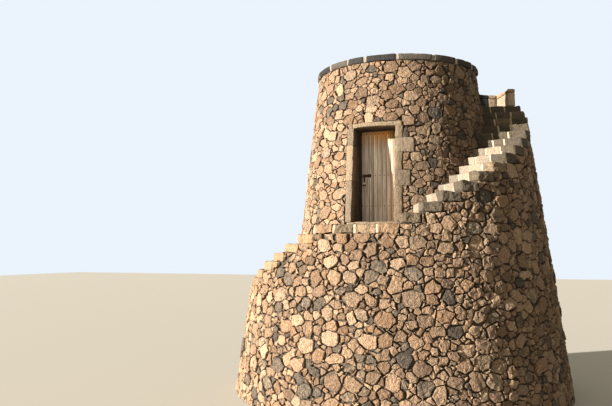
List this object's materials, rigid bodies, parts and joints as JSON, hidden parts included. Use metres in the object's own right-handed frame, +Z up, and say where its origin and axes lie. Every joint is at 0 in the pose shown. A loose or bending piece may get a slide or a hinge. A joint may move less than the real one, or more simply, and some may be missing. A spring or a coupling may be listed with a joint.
{
  "type": "martello tower",
  "caption": "Round battered rubble-stone tower with a plank door above ground, reached by an outside stair that winds round the drum up to the roof terrace.",
  "frame": {"origin": "on the tower's axis at ground level", "axes": "+Z up, the doorway faces -Y, the stair's upper flight climbs round the +X side"},
  "size_m": [6.94, 6.4198, 6.765],
  "materials": {
    "rubble_masonry": "rough rubble of tan, orange-brown and grey basalt stones with deep joints",
    "step_stone": "roughly dressed pale blocks with pale mortar",
    "coping_basalt": "dressed dark basalt with pale mortar joints",
    "dressed_tuff": "dressed grey-tan stone, fine grained, weathered",
    "basalt_paving": "flat paving, matt",
    "weathered_pine": "bare weathered planks, grey-brown with ochre stains",
    "wrought_iron": "dark rusted iron",
    "galvanised_steel": "dull zinc grey"
  },
  "bodies": {
    "tower": {"drum_base": "rubble_masonry", "chamber_floor": "basalt_paving", "wall_left_of_door": "rubble_masonry", "wall_right_of_door": "rubble_masonry", "wall_over_door": "rubble_masonry", "recess_lintel": "dressed_tuff", "chamber_wall_left": "rubble_masonry", "chamber_wall_right": "rubble_masonry", "chamber_wall_back": "rubble_masonry", "drum_head": "rubble_masonry", "terrace_paving": "basalt_paving", "terrace_threshold": "step_stone", "parapet_front": "rubble_masonry", "parapet_left": "rubble_masonry", "parapet_right": "rubble_masonry", "parapet_back": "rubble_masonry", "coping_stones": "coping_basalt", "stair_base_back_left": "rubble_masonry", "stair_base_left": "rubble_masonry", "stair_base_front_left": "rubble_masonry", "landing_base": "rubble_masonry", "stair_base_front_right": "rubble_masonry", "stair_base_right": "rubble_masonry", "stair_base_back_right": "rubble_masonry", "lower_steps": "step_stone", "landing_slabs": "step_stone", "upper_steps": "step_stone", "stair_head_guard": "step_stone", "stair_head_end_wall": "coping_basalt", "left_jamb": "dressed_tuff", "right_jamb": "dressed_tuff", "lintel": "dressed_tuff", "door_sill": "dressed_tuff", "hinge_pintles": "wrought_iron"},
    "door": {"door_planks": "weathered_pine", "door_ledges": "weathered_pine", "strap_hinges": "wrought_iron", "door_bolt": "wrought_iron", "padlock": "galvanised_steel"}
  },
  "joints": [
    {"name": "door_hinge", "type": "hinge", "parent": "tower", "child": "door", "pos_m": [0.457, -1.2429, 3.465], "axis": [0, 0, -1], "range_deg": [0, 100]}
  ]
}
